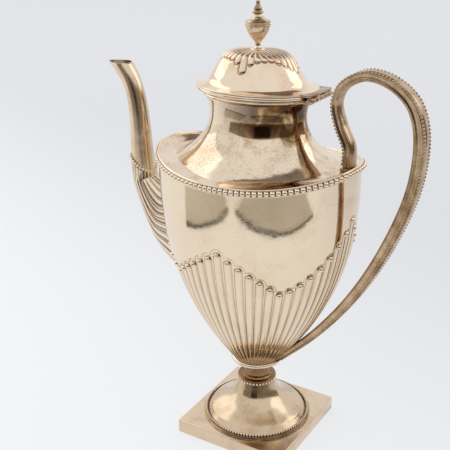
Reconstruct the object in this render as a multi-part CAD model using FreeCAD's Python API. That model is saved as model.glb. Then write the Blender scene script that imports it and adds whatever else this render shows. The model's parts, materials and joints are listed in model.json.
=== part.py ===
import FreeCAD, Part
import math
import os

# Coffee pot: an oval vase on a round foot and a square plinth, with a curved spout, a high loop
# handle and a domed lid hinged over the handle. Millimetres, +Z up. The origin is the middle of the
# plinth's underside, the spout points along -X and the handle along +X.

os.makedirs("parts", exist_ok=True)
Vec = FreeCAD.Vector
ORIGIN = Vec(0, 0, 0)
UP = Vec(0, 0, 1)
ALONG_Y = Vec(0, 1, 0)

# Sheet thickness and working gaps
sheet = 1.2
lid_gap = 0.3
hinge_gap = 0.3
pin_gap = 0.05
stud_gap = 0.1

# Square plinth
plinth_side = 88.0
plinth_height = 10.5
plinth_hole_radius = 30.0

# Round foot
foot_edge_radius = 38.3
foot_neck_radius = 13.0
foot_height = 27.4
foot_rim_radius = 41.0
foot_rim_height = 2.3
foot_bead_radius = 0.85

# Stem between the foot and the body
collar_radius = 14.5
collar_height = 1.9
collar_bead_radius = 0.9
stem_radius = 10.5
stem_waist_radius = 9.7
stem_bore_radius = 8.4
stem_height = 10.6
stem_ring_radius = 11.4
stem_ring_height = 2.2
dish_radius = 19.4
dish_height = 3.2
dish_edge_height = 1.7

# Oval body: half length along X, half width along Y, and how fast it swells to them
body_base_radius = 17.0
body_half_length = 73.2
body_half_width = 56.6
body_height = 150.9
length_swell = 2.45
width_swell = 2.75

# The rim of the body rises towards the spout and the handle
rim_rise = 8.6
rim_curve = 2.6
edge_rise = 1.1
bead_radius = 1.85
bead_reach = 3.1
bead_drop = 1.7
rim_wire = 0.7

# Shoulder and neck
shoulder_rise = 5.5
shoulder_hollow = 9.0
neck_foot_half_length = 58.3
neck_foot_half_width = 44.1
neck_waist_half_length = 34.6
neck_waist_half_width = 25.6
neck_top_half_length = 38.2
neck_top_half_width = 27.8
neck_height = 42.8
neck_waist_share = 0.74
neck_flare = 2.3

# Mouth rim: two stacked bands round an oval opening
mouth_half_length = 36.7
mouth_half_width = 25.4
lower_band_half_length = 39.9
lower_band_half_width = 29.1
lower_band_height = 2.3
upper_band_half_length = 44.1
upper_band_half_width = 31.6
upper_band_height = 3.5

# Lid
lid_overhang = 0.4
lid_edge = 1.2
bezel_depth = 4.8
bezel_gap = 0.5
dome_foot_half_length = 37.0
dome_foot_half_width = 26.8
bell_half_length = 33.0
bell_half_width = 24.3
flare_height = 5.8
crown_half_length = 25.6
crown_half_width = 19.0
bell_height = 11.6
crown_height = 5.65
dome_sheet = 1.0

# Finial
stud_radius = 1.0
finial_base_radius = 4.8
finial_base_height = 2.4
finial_neck_radius = 1.9
urn_radius = 8.6
urn_height = 15.2
cap_height = 4.6
tip_radius = 3.8
tip_height = 8.5
nut_radius = 3.2
nut_height = 2.2
washer_radius = 3.8
washer_height = 0.8

# Lid hinge
hinge_half_length = 15.0
knuckle_count = 5
knuckle_radius = 2.1
pin_radius = 0.8
hinge_reach = 1.3
hinge_drop = 2.1
leaf_reach = 1.4
seat_height = 2.4

# Spout: middle line of the tube, from the bead band up, as (distance beyond the body's end, height
# above the rim, radius)
spout_wall = 0.9
spout_mouth_rise = 60.0
spout_line = [
    (25.2, -20.7, 8.9),
    (26.2, -3.7, 8.3),
    (26.7, 11.3, 7.7),
    (27.7, 26.3, 7.2),
    (30.0, 39.3, 6.9),
    (34.0, 49.3, 7.1),
    (39.8, 57.1, 7.7),
    (47.3, 63.8, 8.5),
]
# Spout root, from the tube to the body: each cross-section's lower and upper edge as (distance beyond
# the body's side at that height, height above the rim), and its half width
root_sections = [
    ((33.8, -34.7), (14.5, -24.7), 9.8),
    ((25.7, -64.2), (4.9, -30.2), 12.0),
    ((18.2, -83.9), (-2.0, -31.2), 13.0),
    ((-2.9, -106.9), (-18.0, -31.7), 14.0),
]
band_depth = 1.0
band_gap = 0.7
band_lean = 0.15
band_height = 2.2
band_rise = 6.4
band_tilt = 0.66
strainer_hole_radius = 2.0
strainer_columns = 3
strainer_rows = 5
strainer_step_y = 6.0
strainer_step_z = 9.0
strainer_drop = 62.9

# Handle loop: middle line from its foot, as (distance beyond the body's end, height above the rim,
# thickness)
handle_loop = [
    (-5.4, 6.7, 7.6),
    (-5.6, 22.3, 6.9),
    (-11.9, 36.3, 6.4),
    (-15.2, 50.3, 5.8),
    (-9.7, 62.3, 6.5),
    (4.8, 69.1, 7.0),
    (22.3, 64.5, 7.8),
    (35.3, 51.8, 8.6),
    (40.4, 29.3, 8.8),
    (36.6, -3.7, 8.6),
]
# Handle tail: it goes on down to the dish, as (distance beyond the body's side at that height, share
# of the body's height, thickness)
handle_tail = [
    (24.6, 0.704, 8.3),
    (14.4, 0.449, 7.4),
    (6.3, 0.221, 6.0),
    (-1.0, -0.007, 3.8),
]
handle_width = 11.0
handle_end_width = 7.4
handle_taper_height = 80.0
handle_bead = 0.9
handle_bead_width = 1.7
handle_round = 2.2
pad_length = 7.8
pad_width = 13.0
pad_rise = 9.4

# Levels, worked out upwards from the plinth
foot_base = plinth_height
dome_base = foot_base + foot_rim_height
collar_base = dome_base + foot_height
stem_base = collar_base + 2 * collar_bead_radius + collar_height
stem_ring_base = stem_base + stem_height
dish_base = stem_ring_base + stem_ring_height
body_base = dish_base + dish_height
rim_low = body_base + body_height
neck_base = rim_low + shoulder_rise
neck_top = neck_base + neck_height
upper_band_base = neck_top + lower_band_height
mouth_top = upper_band_base + upper_band_height
lid_base = mouth_top + lid_gap
dome_foot = lid_base + lid_edge
bell_foot = dome_foot + flare_height
crown_base = bell_foot + bell_height
dome_top = crown_base + crown_height
rim_end = rim_low + edge_rise + rim_rise
well_over = 400.0
lower_band = (lower_band_half_length, lower_band_half_width)
upper_band = (upper_band_half_length, upper_band_half_width)
hinge_x = upper_band_half_length + hinge_reach
hinge_z = mouth_top - hinge_drop


def body_side(share):
    """Half length of the body at a share of its height."""
    share = min(max(share, 0), 1)
    return body_base_radius + (body_half_length - body_base_radius) * (1 - (1 - share) ** length_swell)


def beyond_side(reach, rise):
    """Distance from the pot's axis to a point beyond the body's side, at a height above the rim."""
    return body_side(1 + rise / body_height) + reach


def handle_points():
    """Middle line of the whole handle as (x, z, thickness)."""
    points = [(body_half_length + reach, rim_low + rise, t) for reach, rise, t in handle_loop]
    for reach, share, thickness in handle_tail:
        points.append((body_side(share) + reach, body_base + share * body_height, thickness))
    return points


def spout_points():
    """Middle line of the spout's tube as (x, z, radius)."""
    return [(-body_half_length - reach, rim_low + rise, radius) for reach, rise, radius in spout_line]


def oval(half_length, half_width, height):
    """Oval wire across the pot at one height."""
    return Part.Wire(Part.Ellipse(Vec(0, 0, height), half_length, half_width).toShape())


def oval_solid(sections):
    """Solid lofted through ovals given as (half length, half width, height)."""
    return Part.makeLoft([oval(*section) for section in sections], True)


def oval_ring(outer, wall_x, wall_y, low, high):
    """Upright oval band, from its outer half sizes and its wall along X and along Y."""
    length, width = outer
    outside = Part.Face(oval(length, width, low)).extrude(Vec(0, 0, high - low))
    inside = Part.Face(oval(length - wall_x, width - wall_y, low)).extrude(Vec(0, 0, high - low))
    return outside.cut(inside)


def turned(points):
    """Solid turned about the Z axis from a closed outline of (radius, height) points."""
    outline = Part.makePolygon([Vec(r, 0, z) for r, z in points + points[:1]])
    return Part.Face(outline).revolve(ORIGIN, UP, 360)


def spline(points):
    """Smooth edge through (x, z) points in the middle plane."""
    curve = Part.BSplineCurve()
    curve.interpolate([Vec(x, 0, z) for x, z in points])
    return curve.toShape()


def line(start, end):
    """Straight edge between (x, z) points in the middle plane."""
    return Part.makeLine(Vec(start[0], 0, start[1]), Vec(end[0], 0, end[1]))


def turned_curve(curve, corners):
    """Solid turned from a smooth outline closed by straight lines through the corners."""
    points = [curve[-1]] + corners + [curve[0]]
    edges = [spline(curve)] + [line(a, b) for a, b in zip(points, points[1:])]
    return Part.Face(Part.Wire(edges)).revolve(ORIGIN, UP, 360)


def torus(ring_radius, wire_radius, height):
    return Part.makeTorus(ring_radius, wire_radius, Vec(0, 0, height), UP)


def disc(radius, low, high):
    return Part.makeCylinder(radius, high - low, Vec(0, 0, low), UP)


def block(x_range, y_half, z_range):
    """Box across the middle plane."""
    size = (x_range[1] - x_range[0], 2 * y_half, z_range[1] - z_range[0])
    return Part.makeBox(*size, Vec(x_range[0], -y_half, z_range[0]))


def rim_level(x):
    """Height of the body's rim at a distance x along the pot."""
    return rim_low + edge_rise + rim_rise * (abs(x) / body_half_length) ** rim_curve


def above_rim(shift):
    """Everything above the curved rim, moved up by a shift."""
    steps = [body_half_length * i / 5 for i in range(-6, 7)]
    edge = [(x, rim_level(x) + shift) for x in steps]
    corners = [edge[-1], (steps[-1], well_over), (steps[0], well_over), edge[0]]
    edges = [spline(edge)] + [line(a, b) for a, b in zip(corners, corners[1:])]
    face = Part.Face(Part.Wire(edges))
    face.translate(Vec(0, -body_half_width * 1.5, 0))
    return face.extrude(Vec(0, body_half_width * 3, 0))


def body_oval(share, inset):
    """Section of the body at a share of its height, drawn in by an inset."""
    length = body_side(share)
    width = body_base_radius + (body_half_width - body_base_radius) * (1 - (1 - share) ** width_swell)
    return length - inset, width - inset, body_base + share * body_height


def body_solid(inset, floor):
    """The filled vase, up past its rim, with its floor raised by a step."""
    start = floor / body_height
    shares = [start + (1 - start) * i / 8 for i in range(9)]
    sections = [body_oval(share, inset) for share in shares]
    length, width, top = sections[-1]
    sections.append((length, width, top + rim_rise * 2))
    return oval_solid(sections)


def plinth():
    top_low = plinth_height - sheet
    half = plinth_side / 2
    apron = block((-half, half), half, (0, top_low))
    apron = apron.cut(block((sheet - half, half - sheet), half - sheet, (0, top_low)))
    top = block((-half, half), half, (top_low, plinth_height))
    top = top.cut(disc(plinth_hole_radius, top_low, plinth_height))
    return {"plinth_apron": apron, "plinth_top": top}


def foot():
    rise = foot_rim_height
    inner = foot_edge_radius - 2 * sheet
    rim = turned([
        (inner, foot_base),
        (foot_rim_radius, foot_base),
        (foot_rim_radius, foot_base + rise * 0.5),
        (foot_rim_radius - rise * 0.4, foot_base + rise),
        (inner, foot_base + rise),
    ])
    shares = [(1, 0), (0.95, 0.09), (0.82, 0.19), (0.58, 0.31), (0.34, 0.46), (0.14, 0.68), (0, 1)]
    spread = foot_edge_radius - foot_neck_radius
    outer = [(foot_neck_radius + spread * r, dome_base + foot_height * z) for r, z in shares]
    inside = [(r - sheet, z - sheet * 0.6) for r, z in outer]
    inside[0] = (foot_edge_radius - sheet, dome_base)
    inside[-1] = (foot_neck_radius - sheet, collar_base)
    edges = [spline(outer), line(outer[-1], inside[-1]), spline(inside[::-1]), line(inside[0], outer[0])]
    dome = Part.Face(Part.Wire(edges)).revolve(ORIGIN, UP, 360)
    bead_ring = foot_edge_radius + 0.1 + foot_bead_radius
    beads = torus(bead_ring, foot_bead_radius, dome_base + foot_bead_radius)
    return {"foot_rim": rim, "foot_dome": dome, "foot_bead_wire": beads}


def stem():
    bead_ring = collar_radius - collar_bead_radius
    bead_level = collar_base + collar_bead_radius
    beads = torus(bead_ring, collar_bead_radius, bead_level)
    collar_low = collar_base + 2 * collar_bead_radius
    neck = turned([
        (stem_bore_radius, collar_base),
        (foot_neck_radius - collar_bead_radius, collar_base),
        (bead_ring - collar_bead_radius, collar_low),
        (collar_radius, collar_low),
        (collar_radius, collar_low + collar_height * 0.6),
        (collar_radius - collar_height * 0.4, stem_base),
        (stem_bore_radius, stem_base),
    ])
    neck = neck.cut(beads)
    middle = stem_base + stem_height * 0.45
    side = [(stem_radius, stem_base), (stem_waist_radius, middle), (stem_radius, stem_ring_base)]
    tube = turned_curve(side, [(stem_bore_radius, stem_ring_base), (stem_bore_radius, stem_base)])
    bulge = stem_ring_height / 2
    ring = torus(stem_ring_radius - bulge, bulge, stem_ring_base + bulge)
    ring = ring.fuse(disc(stem_ring_radius - bulge, stem_ring_base, dish_base))
    ring = ring.cut(disc(stem_bore_radius, stem_ring_base, dish_base)).removeSplitter()
    edge_low = body_base - dish_edge_height
    dish = turned([
        (0, dish_base),
        (stem_ring_radius - bulge, dish_base),
        (dish_radius - dish_edge_height * 0.4, edge_low),
        (dish_radius, edge_low + dish_edge_height * 0.4),
        (dish_radius, body_base - dish_edge_height * 0.3),
        (body_base_radius, body_base),
        (0, body_base),
    ])
    return {
        "collar_bead_wire": beads, "stem_collar": neck, "stem_tube": tube,
        "stem_ring": ring, "body_dish": dish,
    }


def body():
    vase = body_solid(0, 0).cut(body_solid(sheet, sheet))
    vase = vase.cut(above_rim(-sheet))
    first_y = -strainer_step_y * (strainer_columns - 1) / 2
    first_z = rim_low - strainer_drop - strainer_step_z * (strainer_rows - 1) / 2
    for column in range(strainer_columns):
        for row in range(strainer_rows):
            y, z = first_y + column * strainer_step_y, first_z + row * strainer_step_z
            start = Vec(-body_half_length, y, z)
            drill = Part.makeCylinder(strainer_hole_radius, body_half_length, start, Vec(1, 0, 0))
            vase = vase.cut(drill)
    return {"body_vase": vase}


def rim_band(outside, low, high):
    """Band round the outside of the body that follows the curved rim."""
    length, width = body_half_length, body_half_width
    outer = (length + outside, width + outside)
    tall = oval_ring(outer, outside, outside, rim_low - rim_rise, rim_end + rim_rise)
    return tall.cut(above_rim(high)).common(above_rim(low))


def rim_wires():
    middle = -bead_drop
    beads = rim_band(bead_reach, middle - bead_radius, middle + bead_radius)
    lower = rim_band(rim_wire, middle - bead_radius - rim_wire, middle - bead_radius)
    upper = rim_band(rim_wire, middle + bead_radius, middle + bead_radius + rim_wire)
    return {"shoulder_bead_wire": beads, "shoulder_lower_wire": lower, "shoulder_upper_wire": upper}


def shoulder_curve(share, drop):
    """Closed curve round the shoulder, from the rim (share 0) to the foot of the neck (share 1)."""
    length = body_half_length + (neck_foot_half_length - body_half_length) * share
    width = body_half_width + (neck_foot_half_width - body_half_width) * share
    climb = share**2 * (3 - 2 * share) + 0.4 * share * (1 - share) ** 2
    sag = shoulder_hollow * share**2 * (1 - share)
    points = []
    for i in range(24):
        turn = 2 * math.pi * i / 24
        start = rim_level(body_half_length * math.cos(turn))
        level = start + (neck_base - start) * climb - sag
        points.append(Vec(length * math.cos(turn), width * math.sin(turn), level - drop))
    curve = Part.BSplineCurve()
    curve.interpolate(points, PeriodicFlag=True)
    return Part.Wire(curve.toShape())


def shoulder_solid(thickness):
    """Warped ring between the rim and the neck."""
    shares = (0, 0.2, 0.4, 0.6, 0.8, 1)
    top = Part.makeLoft([shoulder_curve(share, 0) for share in shares])
    under = Part.makeLoft([shoulder_curve(share, thickness) for share in shares])
    sides = [
        Part.makeRuledSurface(shoulder_curve(share, 0).Edges[0], shoulder_curve(share, thickness).Edges[0])
        for share in (0, 1)
    ]
    shell = Part.makeShell(top.Faces + under.Faces + sides)
    shell.sewShape()
    return Part.makeSolid(shell)


def neck_oval(share, inset):
    """Section of the neck at a share of its height."""
    if share < neck_waist_share:
        swell = (1 - share / neck_waist_share) ** neck_flare
        foot = (neck_foot_half_length, neck_foot_half_width)
    else:
        swell = ((share - neck_waist_share) / (1 - neck_waist_share)) ** 2
        foot = (neck_top_half_length, neck_top_half_width)
    length = neck_waist_half_length + (foot[0] - neck_waist_half_length) * swell
    width = neck_waist_half_width + (foot[1] - neck_waist_half_width) * swell
    return length - inset, width - inset, neck_base + share * neck_height


def neck():
    shares = [0, 0.1, 0.22, 0.38, 0.54, neck_waist_share, 0.86, 1]
    outer = oval_solid([neck_oval(share, 0) for share in shares])
    inner = oval_solid([neck_oval(share, sheet) for share in shares])
    return {"neck": outer.cut(inner)}


def mouth_band(outer, low, high):
    """Oval band round the mouth."""
    return oval_ring(outer, outer[0] - mouth_half_length, outer[1] - mouth_half_width, low, high)


def mouth_rim(notch):
    lower = mouth_band(lower_band, neck_top, upper_band_base)
    upper = mouth_band(upper_band, upper_band_base, mouth_top)
    return {"mouth_lower_band": lower.cut(notch), "mouth_upper_band": upper.cut(notch)}


def barrel(radius, low_y, high_y):
    """Round bar along the hinge line."""
    return Part.makeCylinder(radius, high_y - low_y, Vec(hinge_x, low_y, hinge_z), ALONG_Y)


def hinge():
    pitch = 2 * hinge_half_length / knuckle_count
    pin = barrel(pin_radius, -hinge_half_length, hinge_half_length)
    loose_bore = barrel(pin_radius + pin_gap, -hinge_half_length, hinge_half_length)
    seat_top = hinge_z
    seat_low = seat_top - seat_height
    seat = block((neck_waist_half_length, hinge_x), hinge_half_length, (seat_low, seat_top))
    leaf_edge = hinge_x + leaf_reach
    leaf = block((dome_foot_half_length, leaf_edge), hinge_half_length, (lid_base, dome_foot))
    leaf = leaf.cut(lid_edge_ring())
    for i in range(knuckle_count):
        low = -hinge_half_length + i * pitch + (hinge_gap / 2 if i else 0)
        high = -hinge_half_length + (i + 1) * pitch - (hinge_gap / 2 if i < knuckle_count - 1 else 0)
        knuckle = barrel(knuckle_radius, low, high)
        if i % 2:
            room = barrel(knuckle_radius + hinge_gap, low - hinge_gap, high + hinge_gap)
            seat = seat.cut(room)
            web = Part.makeBox(2 * leaf_reach, high - low, lid_base - hinge_z,
                               Vec(hinge_x - leaf_reach, low, hinge_z))
            leaf = leaf.fuse(knuckle).fuse(web)
        else:
            seat = seat.fuse(knuckle)
    inside_upper = Part.Face(oval(*upper_band, upper_band_base)).extrude(Vec(0, 0, upper_band_height))
    inside_lower = Part.Face(oval(*lower_band, neck_top)).extrude(Vec(0, 0, lower_band_height))
    seat = seat.cut(inside_upper).cut(inside_lower).cut(pin).removeSplitter()
    leaf = leaf.cut(loose_bore).removeSplitter()
    return {"hinge_seat": seat, "hinge_leaf": leaf, "hinge_pin": pin}


def hinge_notch():
    """Room in the mouth rim for the knuckles to turn."""
    return barrel(knuckle_radius + hinge_gap, -hinge_half_length - hinge_gap, hinge_half_length + hinge_gap)


def lid_edge_ring():
    length, width = [size + lid_overhang for size in upper_band]
    inner = (dome_foot_half_length - 2 * dome_sheet, dome_foot_half_width - 2 * dome_sheet)
    return oval_ring((length, width), length - inner[0], width - inner[1], lid_base, dome_foot)


def dome_ovals(inset):
    """Sections of the lid: a hollow flare, a straight sloping side and a rounded top."""
    sections = []
    for share in (0, 0.25, 0.6):
        swell = (1 - share) ** 1.8
        length = bell_half_length + (dome_foot_half_length - bell_half_length) * swell
        width = bell_half_width + (dome_foot_half_width - bell_half_width) * swell
        sections.append((length - inset, width - inset, dome_foot + flare_height * share))
    for share in (0, 0.35, 0.7):
        length = bell_half_length + (crown_half_length - bell_half_length) * share
        width = bell_half_width + (crown_half_width - bell_half_width) * share
        sections.append((length - inset, width - inset, bell_foot + bell_height * share))
    for rise, size in ((0, 1), (0.3, 0.95), (0.55, 0.88), (0.75, 0.78), (0.88, 0.66), (0.96, 0.5), (1, 0.3)):
        length = crown_half_length * size
        width = min(length, crown_half_width * size**0.8)
        level = crown_base + (crown_height - inset) * rise
        sections.append((length - inset, width - inset, level))
    return sections


def lid():
    outer = oval_solid(dome_ovals(0))
    inner = oval_solid(dome_ovals(dome_sheet))
    stud_hole = disc(stud_radius + stud_gap, dome_foot, dome_top)
    dome = outer.cut(inner).cut(stud_hole)
    bezel_size = (mouth_half_length - bezel_gap, mouth_half_width - bezel_gap)
    bezel = oval_ring(bezel_size, dome_sheet, dome_sheet, lid_base - bezel_depth, lid_base)
    return {"lid_edge": lid_edge_ring(), "lid_dome": dome, "lid_bezel": bezel}


def finial():
    bore = stud_radius + stud_gap
    urn_base = dome_top + finial_base_height
    cap_base = urn_base + urn_height
    tip_base = cap_base + cap_height
    base = turned([
        (bore, dome_top),
        (finial_base_radius, dome_top),
        (finial_base_radius, dome_top + finial_base_height * 0.25),
        (finial_neck_radius, dome_top + finial_base_height * 0.6),
        (finial_neck_radius, urn_base),
        (bore, urn_base),
    ])
    bowl = [(1, 0), (1.6, 0.1), (4.9, 0.36), (7.2, 0.62), (8.2, 0.86), (8.6, 1)]
    scale = urn_radius / bowl[-1][0]
    side = [(r * scale, urn_base + urn_height * z) for r, z in bowl]
    side[0] = (finial_neck_radius, urn_base)
    urn = turned_curve(side, [(bore, cap_base), (bore, urn_base)])
    cap = turned([
        (bore, cap_base),
        (urn_radius - 0.4, cap_base),
        (urn_radius * 0.75, cap_base + cap_height * 0.35),
        (tip_radius * 0.8, cap_base + cap_height * 0.7),
        (tip_radius * 0.7, tip_base),
        (bore, tip_base),
    ])
    stud_top = tip_base + tip_height * 0.3
    tip = turned([
        (0, tip_base),
        (tip_radius * 0.7, tip_base),
        (tip_radius, tip_base + tip_height * 0.12),
        (tip_radius * 0.7, tip_base + tip_height * 0.3),
        (tip_radius * 0.62, tip_base + tip_height * 0.5),
        (tip_radius * 0.3, tip_base + tip_height * 0.78),
        (tip_radius * 0.36, tip_base + tip_height * 0.9),
        (0, tip_base + tip_height),
    ])
    tip = tip.cut(disc(stud_radius, tip_base, stud_top))
    washer_top = dome_top - dome_sheet
    washer_low = washer_top - washer_height
    nut_low = washer_low - nut_height
    washer = disc(washer_radius, washer_low, washer_top).cut(disc(bore, washer_low, washer_top))
    corners = [math.radians(60 * i) for i in range(7)]
    around = [Vec(nut_radius * math.cos(t), nut_radius * math.sin(t), nut_low) for t in corners]
    nut = Part.Face(Part.makePolygon(around)).extrude(Vec(0, 0, nut_height))
    nut = nut.cut(disc(stud_radius, nut_low, washer_low))
    stud = disc(stud_radius, nut_low - stud_radius, stud_top)
    return {
        "finial_base": base, "finial_urn": urn, "finial_cap": cap, "finial_tip": tip,
        "finial_stud": stud, "finial_washer": washer, "finial_nut": nut,
    }


def tilted_oval(centre, across, half_across, half_width):
    """Oval wire square to the middle plane: one axis lies along a direction in it, the other along Y."""
    points = []
    for i in range(16):
        turn = 2 * math.pi * i / 16
        reach = across * (half_across * math.cos(turn))
        points.append(centre + reach + ALONG_Y * (half_width * math.sin(turn)))
    curve = Part.BSplineCurve()
    curve.interpolate(points, PeriodicFlag=True)
    return Part.Wire(curve.toShape())


def tube_solid(extra):
    """The spout's tube, thickened by an extra amount."""
    wires = []
    points = spout_points()
    last = len(points) - 1
    for i, (x, z, radius) in enumerate(points):
        before, after = points[max(i - 1, 0)], points[min(i + 1, last)]
        along = Vec(after[0] - before[0], 0, after[1] - before[1]) if i else UP
        along.normalize()
        across = ALONG_Y.cross(along)
        circle = Part.Circle(ORIGIN, UP, radius + extra).toShape()
        turn = FreeCAD.Rotation(across, ALONG_Y, -across.cross(ALONG_Y), "ZXY")
        circle.Placement = FreeCAD.Placement(Vec(x, 0, z), turn)
        wires.append(Part.Wire(circle))
    return Part.makeLoft(wires, True)


def root_solid(inset):
    """The spout's root, drawn in by an inset."""
    x, z, radius = spout_points()[0]
    sections = [(Vec(x - radius, 0, z), Vec(x + radius, 0, z), radius)]
    for low, high, half_width in root_sections:
        start, end = [Vec(-beyond_side(*edge), 0, rim_low + edge[1]) for edge in (low, high)]
        sections.append((start, end, half_width))
    wires = []
    for start, end, half_width in sections:
        across = end - start
        half = across.Length / 2 - inset
        across.normalize()
        wires.append(tilted_oval((start + end) / 2, across, half, half_width - inset))
    return Part.makeLoft(wires, True)


def spout(vase_filled):
    above_mouth = block((-well_over, well_over), well_over, (rim_low + spout_mouth_rise, well_over))
    tube_outer = tube_solid(0).cut(above_mouth)
    tube = tube_outer.cut(tube_solid(-spout_wall))
    root_outer = root_solid(0).cut(vase_filled)
    root = root_outer.cut(root_solid(spout_wall))
    middle, start, radius = spout_points()[0]
    level, reach = start + band_rise, radius * 2
    lower_edge = [(middle + side * reach, level - side * reach * band_tilt) for side in (-1, 1)]
    upper_edge = [(x, z + band_height) for x, z in lower_edge]
    outline = lower_edge + upper_edge[::-1] + lower_edge[:1]
    face = Part.Face(Part.makePolygon([Vec(x, 0, z) for x, z in outline]))
    face.translate(Vec(0, -radius * 2, 0))
    strip = face.extrude(Vec(0, radius * 4, 0))
    inner = radius + band_gap
    sleeve = disc(inner + band_depth, level - reach, level + reach)
    sleeve = sleeve.cut(disc(inner, level - reach, level + reach))
    sleeve.translate(Vec(middle - band_lean, 0, 0))
    band = sleeve.common(strip)
    return {"spout_tube": tube, "spout_root": root, "spout_bead_band": band}


def offset_line(side, extra):
    """Points beside the handle's middle line, on one side of it and an extra distance out."""
    points = []
    middle = handle_points()
    last = len(middle) - 1
    for i, (x, z, thickness) in enumerate(middle):
        before, after = middle[max(i - 1, 0)], middle[min(i + 1, last)]
        along = Vec(after[0] - before[0], 0, after[1] - before[1])
        along.normalize()
        reach = side * (thickness / 2 + extra)
        points.append((x - along.z * reach, z + along.x * reach))
    return points


def ribbon(first, second):
    """Slab between two curves in the middle plane, as wide as the handle."""
    edges = [spline(first), line(first[-1], second[-1]), spline(second[::-1]), line(second[0], first[0])]
    face = Part.Face(Part.Wire(edges))
    face.translate(Vec(0, -handle_width / 2, 0))
    return face.extrude(Vec(0, handle_width, 0))


def handle_front(inset):
    """The handle's outline seen from the end, narrowing to its lower end."""
    half, end_half = handle_width / 2 - inset, handle_end_width / 2 - inset
    low, taper = stem_base, body_base + handle_taper_height
    right = [(end_half, low), (half, taper), (half, well_over)]
    outline = right + [(-y, z) for y, z in right[::-1]]
    face = Part.Face(Part.makePolygon([Vec(0, y, z) for y, z in outline + outline[:1]]))
    return face.extrude(Vec(well_over, 0, 0))


def handle(vase_filled, dish):
    foot_x = handle_points()[0][0]
    pad_top = rim_low + pad_rise
    pad = block((foot_x - pad_length / 2, foot_x + pad_length / 2), pad_width / 2, (rim_low, pad_top))
    pad = pad.cut(shoulder_solid(rim_rise * 2))
    pad = max(pad.Solids, key=lambda solid: solid.CenterOfMass.z)
    loop = ribbon(offset_line(1, 0), offset_line(-1, 0))
    inner_edges = [
        edge for edge in loop.Edges
        if abs(abs(edge.CenterOfMass.y) - handle_width / 2) < 0.01 and edge.Length > well_over / 2
    ]
    inner_edges = sorted(inner_edges, key=lambda edge: edge.Length)[:2]
    loop = loop.makeFillet(handle_round, inner_edges)
    keep = handle_front(0).cut(vase_filled).cut(dish)
    keep = keep.cut(block((0, hinge_x), well_over / 4, (pad_top, well_over)))
    foot_room = block((foot_x - pad_length, foot_x + pad_length), pad_width, (rim_low, pad_top))
    loop = loop.common(keep).cut(foot_room)
    beads = ribbon(offset_line(1, handle_bead), offset_line(1, 0))
    beads = beads.common(keep).cut(handle_front(handle_bead_width)).cut(foot_room)
    near, far = sorted(beads.Solids, key=lambda solid: solid.CenterOfMass.y)
    return {
        "handle_pad": pad, "handle_loop": max(loop.Solids, key=lambda solid: solid.Volume),
        "handle_bead_wire_near": near, "handle_bead_wire_far": far,
    }


filled = body_solid(0, 0).cut(above_rim(-sheet))
stem_pieces = stem()
pieces = {}
pieces.update(plinth())
pieces.update(foot())
pieces.update(stem_pieces)
pieces.update(body())
pieces.update(rim_wires())
pieces["shoulder"] = shoulder_solid(sheet)
pieces.update(neck())
pieces.update(mouth_rim(hinge_notch()))
pieces.update(spout(filled))
pieces.update(handle(filled, stem_pieces["body_dish"]))
pieces.update(hinge())
pieces.update(lid())
pieces.update(finial())

for name, shape in pieces.items():
    shape.exportStep("parts/" + name + ".step")
    box = shape.BoundBox
    print(name, len(shape.Solids), "valid" if shape.isValid() else "NOT VALID", round(shape.Volume, 1),
          [round(v, 2) for v in (box.XMin, box.XMax, box.YMin, box.YMax, box.ZMin, box.ZMax)])
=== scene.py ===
# %% [markdown]
# # A silver coffee pot
# The pot is an oval vase on a round foot and a square plinth, with a curved spout, a loop handle
# and a hinged lid. The solids give every main size. Here the same pieces get what makes silver
# look like silver: reeds, beads, petals, soft edges and a slightly tarnished polish.

# %% Load the frame
import json
import math

import bpy
import numpy as np
from mathutils import Matrix, Vector


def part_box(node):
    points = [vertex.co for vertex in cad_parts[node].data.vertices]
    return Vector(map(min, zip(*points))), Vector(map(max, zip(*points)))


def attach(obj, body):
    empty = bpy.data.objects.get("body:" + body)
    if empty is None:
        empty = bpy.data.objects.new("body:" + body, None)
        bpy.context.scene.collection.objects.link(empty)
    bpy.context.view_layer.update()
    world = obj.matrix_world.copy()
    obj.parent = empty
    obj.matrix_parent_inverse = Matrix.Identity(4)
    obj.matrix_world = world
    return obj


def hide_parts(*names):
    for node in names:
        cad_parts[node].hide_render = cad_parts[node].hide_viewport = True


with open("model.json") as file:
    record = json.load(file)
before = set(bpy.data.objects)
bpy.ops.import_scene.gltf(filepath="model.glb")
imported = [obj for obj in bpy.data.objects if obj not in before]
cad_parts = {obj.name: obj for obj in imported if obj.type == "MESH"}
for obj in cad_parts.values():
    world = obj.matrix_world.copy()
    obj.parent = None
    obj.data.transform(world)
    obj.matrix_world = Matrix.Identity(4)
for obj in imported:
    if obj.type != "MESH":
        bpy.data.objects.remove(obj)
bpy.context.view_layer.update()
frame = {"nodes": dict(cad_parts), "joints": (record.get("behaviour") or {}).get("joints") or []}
scene = bpy.context.scene
MM = 0.001
FULL_TURN = 2 * math.pi

# %% [markdown]
# ## Sizes from the solids
# Heights and half sizes are read from the boxes of the solids, so every new piece sits where its
# solid is. The vase swells by a power law: fast above the stem, then slower up to the rim.

# %% Sizes from the solids
SHEET = 1.2 * MM
BODY_LOW, BODY_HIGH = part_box("body_vase")
BODY_BASE = BODY_LOW.z
HALF_LENGTH, HALF_WIDTH = BODY_HIGH.x, BODY_HIGH.y
BASE_RADIUS = 17.0 * MM
LENGTH_SWELL, WIDTH_SWELL = 2.45, 2.75
RIM_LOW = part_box("shoulder")[0].z + SHEET
RIM_END = BODY_HIGH.z + SHEET
RIM_RISE, RIM_CURVE = RIM_END - RIM_LOW, 2.6
BODY_RISE = 150.9 * MM
NECK_LOW, NECK_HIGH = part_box("neck")
MOUTH_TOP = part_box("mouth_upper_band")[1].z
LID_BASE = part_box("lid_edge")[0].z
DOME_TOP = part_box("lid_dome")[1].z


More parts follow.
